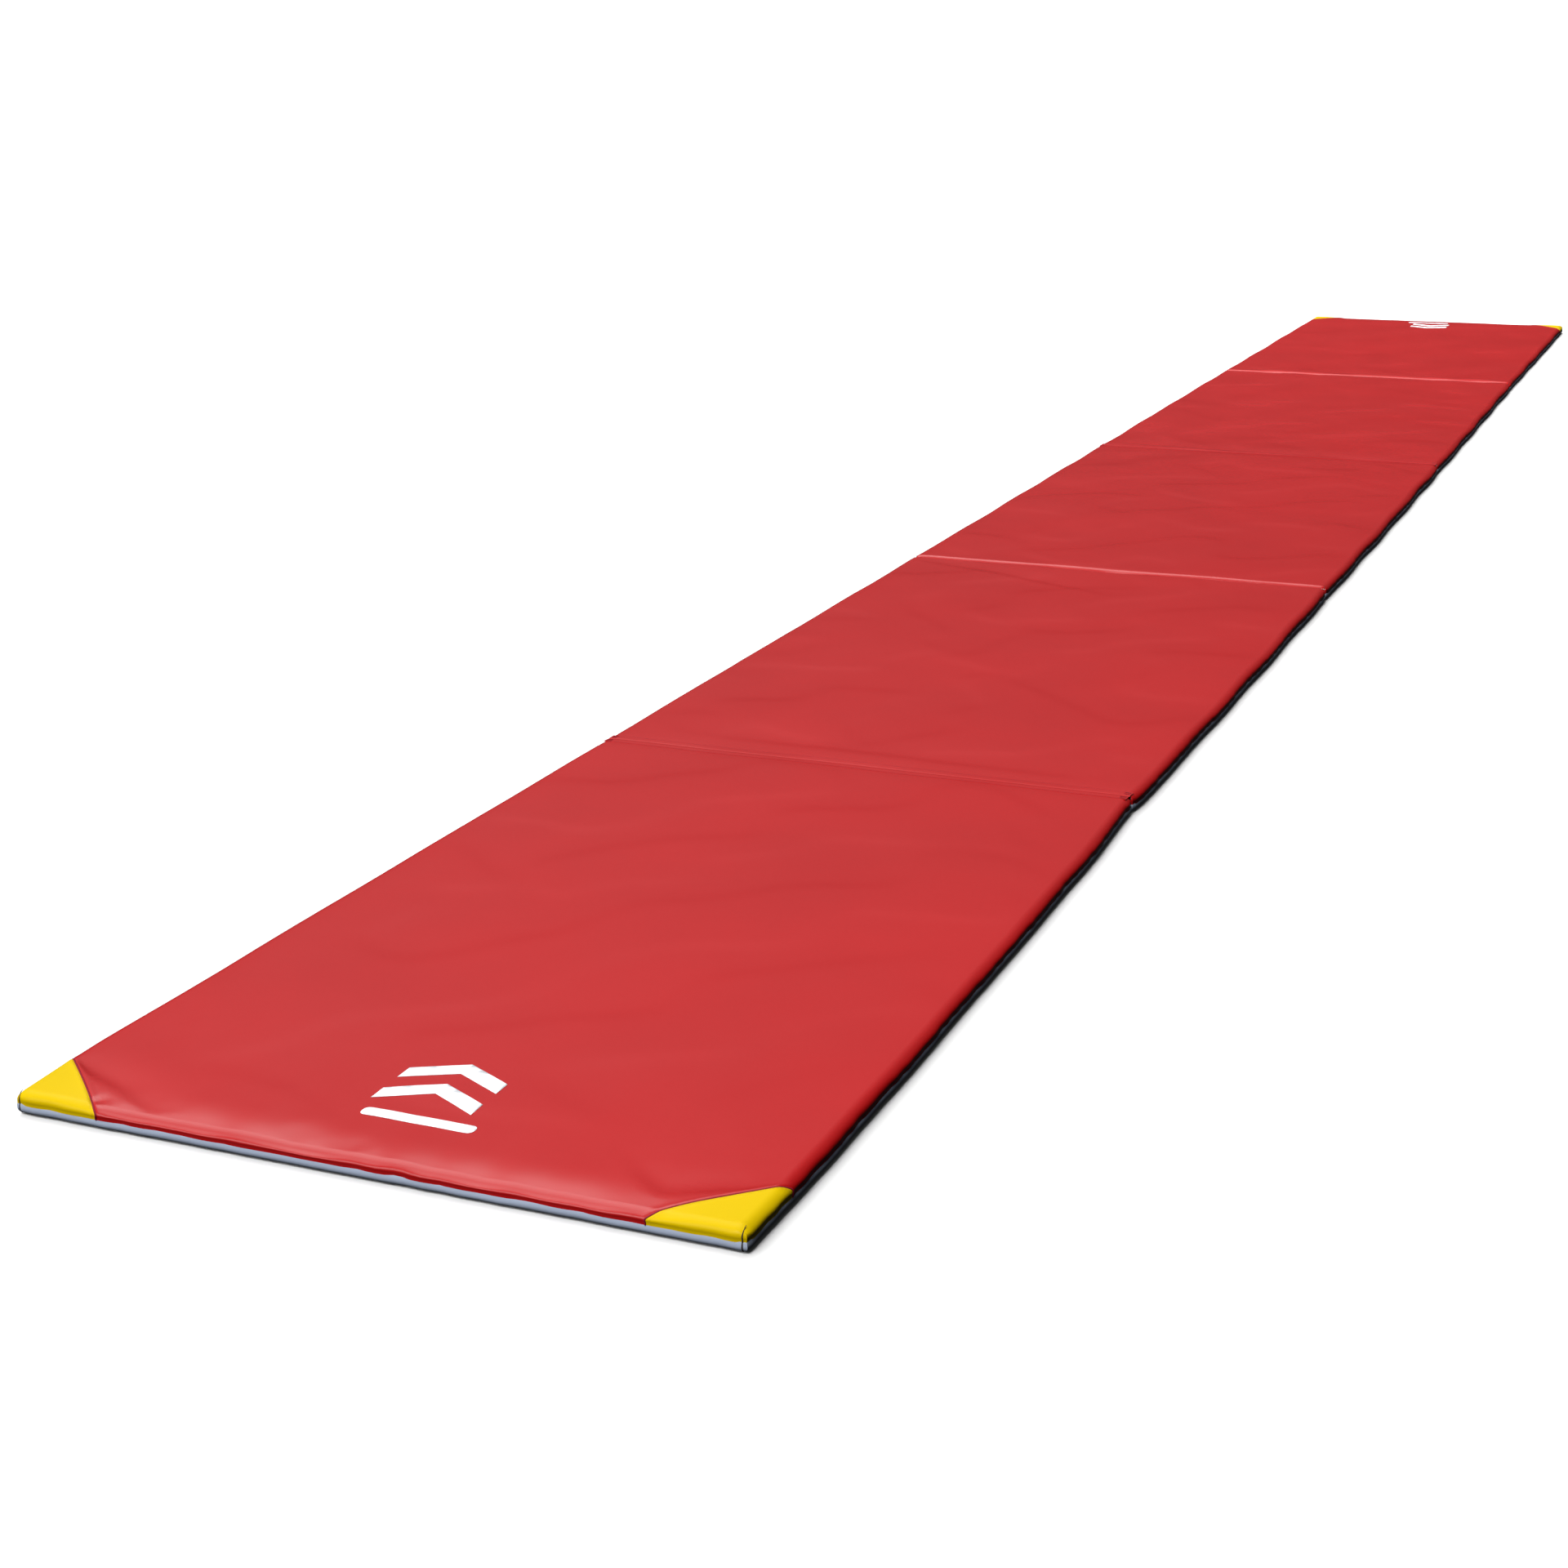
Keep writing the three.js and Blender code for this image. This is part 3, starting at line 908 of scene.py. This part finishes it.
def mark_patches(bm, corners):
    """Marks each face with 0 where the cover is red and 1 or 2 where it is a patch."""
    planes = [seam_plane(corner) for corner in corners]
    for face in bm.faces:
        for mark, (point, outward) in enumerate(planes, start=1):
            if beyond(face.calc_center_median(), point, outward) > 0:
                face.material_index = mark


def keep_marked(bm, mark):
    gone = [f for f in bm.faces if f.material_index != mark]
    bmesh.ops.delete(bm, geom=gone, context="FACES")
    for face in bm.faces:
        face.material_index = 0


def dress_patch(bm, corner, mark, number):
    patch = bm.copy()
    keep_marked(patch, mark)
    piece = to_object(patch, f"patch_{corner}", yellow_vinyl, SKIN)
    stand_for(piece, f"panel_{number}", f"corner_patch_{corner}")


def dress_base(number):
    tray = base_tray(number)
    bm = to_bmesh(tray.points, tray.faces, flipped=True)
    cut_zip_slot(bm, number, False)
    move_points(bm, settle)
    piece = to_object(bm, f"grey_cover_{number}", grey_vinyl, SKIN)
    stand_for(piece, f"panel_{number}", f"base_cover_{number}")


def dress_foam(number):
    top, low = foam_block(number)
    bm = to_bmesh(top.points, top.faces)
    under = to_bmesh(low.points, low.faces, flipped=True)
    mesh = bpy.data.meshes.new("foam_half")
    under.to_mesh(mesh)
    under.free()
    bm.from_mesh(mesh)
    bpy.data.meshes.remove(mesh)
    bmesh.ops.remove_doubles(bm, verts=bm.verts, dist=1e-5)
    move_points(bm, settle_foam)
    piece = to_object(bm, f"foam_{number}", foam_material)
    stand_for(piece, f"panel_{number}", f"foam_core_{number}")


# Folds

STRIP_LINES = (0.0, 0.0006, 0.0012, 0.0018, 0.0024, 0.0030, 0.0036, 0.0042, 0.0055, 0.0075, 0.0100, 0.0120)


def strip_grid(line):
    xs = sorted([line - o for o in STRIP_LINES[1:]] + [line + o for o in STRIP_LINES])
    xs = np.array([line - STRIP_REACH] + xs + [line + STRIP_REACH])
    ys = grid_lines(RIGHT + 0.007, LEFT - 0.007, CELL_ACROSS)
    return sheet_grid(xs, ys)


def dress_fold(fold):
    """The sheet that joins two panels: red over the top at folds 1 and 3, grey below at 2 and 4."""
    line = FOLD_LINES[fold - 1]
    on_top = fold % 2 == 1
    x, y, faces = strip_grid(line)
    if on_top:
        sag = 0.0007 * bell(x - line, 0.004)
        flat = np.stack([x, y, np.full(len(x), TOP)], axis=1)
        points = settle(flat) + np.array([0, 0, STRIP_PROUD])
        points[:, 2] -= sag
        bm = to_bmesh(points, faces)
    else:
        level = np.full(len(x), BASE_LIFT - STRIP_PROUD)
        points = settle(np.stack([x, y, level], axis=1))
        bm = to_bmesh(points, faces, flipped=True)
    material, slot = (red_vinyl, "red_vinyl") if on_top else (grey_vinyl, "grey_vinyl")
    piece = to_object(bm, f"fold_sheet_{fold}", material, STRIP_SKIN)
    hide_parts(f"fold_{fold}_leaf_near", f"fold_{fold}_leaf_far")
    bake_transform(piece)
    sew_fold(fold, line, on_top, slot)


def sew_fold(fold, line, on_top, slot):
    """A row of stitches along each edge of a fold's sheet, and a bar tack at each of its ends."""
    ys = np.linspace(RIGHT + 0.012, LEFT - 0.012, 200)
    up = np.array([0, 0, 1.0 if on_top else -1.0])
    level = TOP if on_top else BASE_LIFT
    lift = up * (STRIP_PROUD + 0.0001)
    thread = red_thread_and_seam_shade if on_top else thread_grey
    for side, body in ((-1, f"panel_{fold}"), (1, f"panel_{fold + 1}")):
        x = line + side * (STRIP_REACH - 0.0025)
        row = settle(np.stack([np.full(200, x), ys, np.full(200, level)], axis=1)) + lift
        rows = [(row, np.tile(up, (200, 1)), *FOLD_STITCH)]
        for y0, inward in ((RIGHT + 0.010, 1), (LEFT - 0.010, -1)):
            for k in range(8):
                y = y0 + inward * k * 0.0017
                ends = [line + side * 0.0055, line + side * (STRIP_REACH - 0.001)]
                tack = np.array([[ends[0], y, level], [ends[1], y, level]])
                rows.append((settle(tack) + lift, np.tile(up, (2, 1)), *TACK_STITCH))
        stitches(f"fold_{fold}_stitches_{'near' if side < 0 else 'far'}", rows, thread, body, slot)


# Zips

def box_faces(start):
    corners = ((0, 1, 3, 2), (4, 6, 7, 5), (0, 4, 5, 1), (2, 3, 7, 6), (0, 2, 6, 4), (1, 5, 7, 3))
    return [tuple(start + c for c in face) for face in corners]


def boxes(places):
    """Corners and faces of many boxes, each given by its lowest and highest corner."""
    points, faces = [], []
    for low, high in places:
        start = len(points)
        spans = zip(low, high)
        points += itertools.product(*spans)
        faces += box_faces(start)
    return points, faces


def dress_zip(number):
    low, high = zip_box(number)
    body = f"panel_{number}"
    middle = (low.z + high.z) / 2
    back = LEFT - 0.0016
    face = LEFT - 0.0010
    tape = [((low.x - 0.004, back, low.z - 0.002), (high.x + 0.004, face, middle - 0.0004))]
    tape.append(((low.x - 0.004, back, middle + 0.0004), (high.x + 0.004, face, high.z + 0.002)))
    piece = finish_piece(*boxes(tape), f"tape_{number}", tape_material, body, "zip_tape")
    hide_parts(f"zip_tape_{number}")
    dress_teeth(number, low, high, middle, face)
    sew_zip(number, low, high)


def dress_teeth(number, low, high, middle, face):
    """Coil teeth: each a small peaked block, the upper and lower ones in turn."""
    points, faces = [], []
    pitch, half = 0.0020, 0.0008
    count = int((high.x - low.x - 0.012) / pitch)
    for k in range(count):
        x = low.x + 0.006 + k * pitch
        away = 0.0017 if k % 2 else -0.0017
        z0, z1 = middle + away, middle - away * 0.35
        start = len(points)
        for side in (x - half, x + half):
            points += [(side, face, z0), (side, face, z1)]
            points += [(side, LEFT + 0.0007, z1), (side, LEFT + 0.0009, z0)]
        faces += [(start, start + 1, start + 2, start + 3), (start + 7, start + 6, start + 5, start + 4)]
        for i in range(4):
            j = (i + 1) % 4
            faces.append((start + i, start + 4 + i, start + 4 + j, start + j))
    finish_piece(points, faces, f"teeth_{number}", teeth_material, f"panel_{number}", "zip_tape")


def sew_zip(number, low, high):
    """A row of stitches above and below the zip."""
    xs = np.linspace(low.x - 0.006, high.x + 0.006, 400)
    out = np.tile([0.0, 1.0, 0.0], (400, 1))
    rows = []
    for z in (low.z - 0.0025, high.z + 0.0025):
        row = settle(np.stack([xs, np.full(400, LEFT), np.full(400, z)], axis=1))
        rows.append((row, out, *ZIP_STITCH))
    stitches(f"zip_stitches_{number}", rows, red_thread_and_seam_shade, f"panel_{number}", "red_vinyl")


def loft(bm, rings):
    """Joins rings of vertices into one closed solid."""
    for a, b in zip(rings, rings[1:]):
        for i in range(len(a)):
            j = (i + 1) % len(a)
            bm.faces.new((a[i], a[j], b[j], b[i]))
    bm.faces.new(rings[0][::-1])
    bm.faces.new(rings[-1])


def slider_half_height(share):
    """Half of the slider's height along its length: wide shoulders, a narrower tail."""
    nose = math.sqrt(max(0.0, 1 - (max(0.0, 0.12 - share) / 0.14) ** 2))
    return (0.0045 - 0.0012 * share) * max(nose, 0.55)


def dress_slider(number):
    """A locking slider with no pull: a channel over the coil with a low bridge on its face."""
    low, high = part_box(f"zip_slider_{number}")
    middle = (low.z + high.z) / 2
    channel = LEFT + 0.0014
    shares = (0.0, 0.03, 0.07, 0.12, 0.25, 0.45, 0.7, 0.9, 0.97, 1.0)
    bm = bmesh.new()
    rings = []
    for share in shares:
        x = low.x + (high.x - low.x) * share
        half = slider_half_height(share)
        edge = min(1.0, share / 0.03 + 0.4, (1 - share) / 0.03 + 0.4)
        top = channel + (high.y - channel - 0.0008) * edge
        section = [
            (low.y, middle - half), (top - 0.0004, middle - half), (top, middle - half + 0.0006),
            (top, middle + half - 0.0006), (top - 0.0004, middle + half), (low.y, middle + half),
            (low.y, middle + 0.0020), (channel, middle + 0.0020),
            (channel, middle - 0.0020), (low.y, middle - 0.0020),
        ]
        rings.append([bm.verts.new((x, y, z)) for y, z in section])
    loft(bm, rings)
    add_bridge(bm, low.x + 0.004, low.x + 0.013, middle, high.y - 0.0010, high.y + 0.0006)
    bmesh.ops.recalc_face_normals(bm, faces=bm.faces)
    piece = to_object(bm, f"slider_{number}", metal)
    stand_for(piece, f"slider_{number}", f"zip_slider_{number}")


def add_bridge(bm, x0, x1, middle, foot, crown):
    """A low arch along the slider's face."""
    rings = []
    for k in range(13):
        a = math.pi * k / 12
        x = (x0 + x1) / 2 - (x1 - x0) / 2 * math.cos(a)
        y = foot + (crown - foot) * math.sin(a)
        half = 0.0011
        inner = max(foot - 0.0004, y - 0.0008)
        ring = [(y, middle - half), (y, middle + half), (inner, middle + half), (inner, middle - half)]
        rings.append([bm.verts.new((x, py, pz)) for py, pz in ring])
    loft(bm, rings)


# Corners

def wall_line(tray, out_x, y):
    """The line where the plane at y cuts a tray's end wall, one point for each of its rings."""
    facing = tray.out[:, 0] * out_x > 0.3
    line = []
    for ring in tray.rings:
        places = tray.points[ring][facing]
        places = places[np.argsort(places[:, 1])]
        line.append((np.interp(y, places[:, 1], places[:, 0]), y, places[0, 2]))
    return line


def dress_corners(number):
    """The upright seam at each corner, where the end wall is sewn to the side; its black cord also paints groove
    shade.
    """
    top, base = top_tray(number), base_tray(number)
    for end, out_x in (("near", -1.0), ("far", 1.0)):
        for side, y in (("right", RIGHT + CORNER_SEAM_FROM), ("left", LEFT - CORNER_SEAM_FROM)):
            upper = wall_line(top, out_x, y)[:0:-1]
            lower = [place for place in wall_line(base, out_x, y)[2:] if place[2] < upper[0][2]]
            path = settle(np.array(lower + upper))
            path[:, 0] += out_x * 0.0003
            normals = np.tile([out_x, 0.0, 0.0], (len(path), 1))
            name = f"corner_seam_{number}_{end}_{side}"
            bead(name, path, normals, *CORNER_BEAD, cord_and_groove_shade, f"panel_{number}", "zip_tape")


# Print

PRINT_CELL = 0.012
PRINT_RISE = 0.00035
PRINT_SKIN = 0.00025


def dress_mark(name, body):
    """The frame's printed shape, laid down on the cover as it has settled."""
    low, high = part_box(name)
    bm = bmesh.new()
    bm.from_mesh(frame["nodes"][name].data)
    bmesh.ops.remove_doubles(bm, verts=bm.verts, dist=1e-5)
    for axis in (0, 1):
        normal = Vector((1, 0, 0)) if axis == 0 else Vector((0, 1, 0))
        for place in np.arange(low[axis] + PRINT_CELL / 2, high[axis], PRINT_CELL):
            cut(bm, normal * place, normal)

    def lay_down(points):
        upper = points[:, 2] > (low.z + high.z) / 2
        flat = points.copy()
        flat[:, 2] = TOP
        laid = settle(flat)
        laid[:, 2] += PRINT_RISE + np.where(upper, PRINT_SKIN, 0.0)
        return laid

    move_points(bm, lay_down)
    piece = to_object(bm, f"print_{name}", print_ink)
    stand_for(piece, body, name)


# Studio

def aim(obj, place, target, roll=0.0):
    obj.location = place
    ahead = Vector(target) - Vector(place)
    turn = ahead.to_track_quat("-Z", "Y").to_matrix().to_4x4()
    obj.rotation_euler = (turn @ Matrix.Rotation(math.radians(roll), 4, "Z")).to_euler()


def add_camera():
    data = bpy.data.cameras.new("camera")
    data.angle = math.radians(CAMERA_ANGLE)
    data.clip_end = 1000
    camera = add_object("camera", data)
    aim(camera, CAMERA_PLACE, CAMERA_TARGET, CAMERA_ROLL)
    bpy.context.scene.camera = camera


def add_floor():
    """A wide flat floor whose far rim sweeps gently up. A low view still sees dark sky over it."""
    flat, rim, rise = 60.0, 300.0, math.tan(math.radians(4.5)) * 300.0
    radii = [0.0] + [flat + (rim - flat) * k / 12 for k in range(13)]
    bm = bmesh.new()
    rings = []
    for radius in radii[1:]:
        share = (radius - flat) / (rim - flat)
        z = rise * share * share
        angles = [math.tau * k / 96 for k in range(96)]
        rings.append([bm.verts.new((radius * math.cos(a), radius * math.sin(a), z)) for a in angles])
    for a, b in zip(rings, rings[1:]):
        for i in range(96):
            j = (i + 1) % 96
            bm.faces.new((a[i], b[i], b[j], a[j]))
    bm.faces.new(rings[0])
    material, _, _ = new_material("studio_floor", (FLOOR_SHADE,) * 3, 0.9, 0.0)
    floor = to_object(bm, "studio_floor", material)
    floor.location.z = -FLOOR_DROP
    floor.visible_diffuse = False
    floor.visible_glossy = False


def add_sun():
    data = bpy.data.lights.new("sun", "SUN")
    data.energy = SUN_POWER
    data.angle = math.radians(SUN_SOFTNESS)
    sun = add_object("sun", data)
    aim(sun, SUN_FROM, (0, 0, 0))


def add_ramp(tree, steps):
    """A colour ramp of greys, from (position, brightness) steps."""
    ramp = add_node(tree, "ShaderNodeValToRGB")
    elements = ramp.color_ramp.elements
    while len(elements) < len(steps):
        elements.new(0.5)
    for element, (place, bright) in zip(elements, steps):
        element.position = place
        element.color = (bright, bright, bright, 1)
    return ramp


def add_softbox(tree, coordinate, turn, rise, core, edge, power):
    """A round softbox in the sky: full inside its core and fading out to its edge."""
    turn, rise = math.radians(turn), math.radians(rise)
    towards = (math.cos(turn) * math.cos(rise), math.sin(turn) * math.cos(rise), math.sin(rise))
    facing = add_node(tree, "ShaderNodeVectorMath", operation="DOT_PRODUCT")
    facing.inputs[1].default_value = towards
    fade = add_ramp(tree, ((math.cos(math.radians(edge)), 0.0), (math.cos(math.radians(core)), 1.0)))
    light = add_node(tree, "ShaderNodeBackground", Strength=power)
    tree.links.new(coordinate, facing.inputs[0])
    tree.links.new(facing.outputs["Value"], fade.inputs["Fac"])
    tree.links.new(fade.outputs["Color"], light.inputs["Color"])
    return light.outputs["Background"]


def add_world():
    """A soft sky, almost black low down and dim towards -Y, with broad softboxes in it."""
    world = bpy.data.worlds.new("studio")
    bpy.context.scene.world = world
    world.use_nodes = True
    tree = world.node_tree
    tree.nodes.clear()
    coordinate = add_node(tree, "ShaderNodeTexCoord").outputs["Generated"]
    split = add_node(tree, "ShaderNodeSeparateXYZ")
    sky = add_ramp(tree, SKY_STEPS)
    spread = {"From Min": -0.5, "From Max": 0.5, "To Min": SKY_SHADE_SIDE, "To Max": SKY_LIT_SIDE}
    across = add_node(tree, "ShaderNodeMapRange", **spread)
    sky_light = add_node(tree, "ShaderNodeBackground")
    link = tree.links.new
    link(coordinate, split.inputs["Vector"])
    link(split.outputs["Z"], sky.inputs["Fac"])
    link(split.outputs["Y"], across.inputs["Value"])
    link(across.outputs["Result"], sky_light.inputs["Strength"])
    link(sky.outputs["Color"], sky_light.inputs["Color"])
    total = sky_light.outputs["Background"]
    for softbox in SOFTBOXES:
        both = add_node(tree, "ShaderNodeAddShader")
        link(total, both.inputs[0])
        link(add_softbox(tree, coordinate, *softbox), both.inputs[1])
        total = both.outputs["Shader"]
    output = add_node(tree, "ShaderNodeOutputWorld")
    link(total, output.inputs["Surface"])


def add_far_lamp():
    """A wide soft lamp over the far end, which the other lights reach least."""
    data = bpy.data.lights.new("far_lamp", "AREA")
    data.shape = "RECTANGLE"
    data.size, data.size_y = FAR_LAMP_SIZE
    data.energy = FAR_LAMP_POWER
    lamp = add_object("far_lamp", data)
    lamp.location = FAR_LAMP_PLACE
    lamp.visible_glossy = False


def set_view():
    view = bpy.context.scene.view_settings
    view.view_transform = "Standard"
    view.look = "None"
    view.exposure = 0
    view.gamma = 1


add_camera()
add_floor()
add_sun()
add_world()
add_far_lamp()
set_view()

for number in range(1, PANELS + 1):
    relax_top(number)
for number in range(1, PANELS + 1):
    dress_foam(number)
    dress_top(number)
    dress_base(number)
    dress_corners(number)
    dress_zip(number)
    dress_slider(number)
for fold in range(1, PANELS):
    dress_fold(fold)
for body, names in frame["record"]["behaviour"]["bodies"].items():
    for name in names:
        if "_mark_" in name:
            dress_mark(name, body)
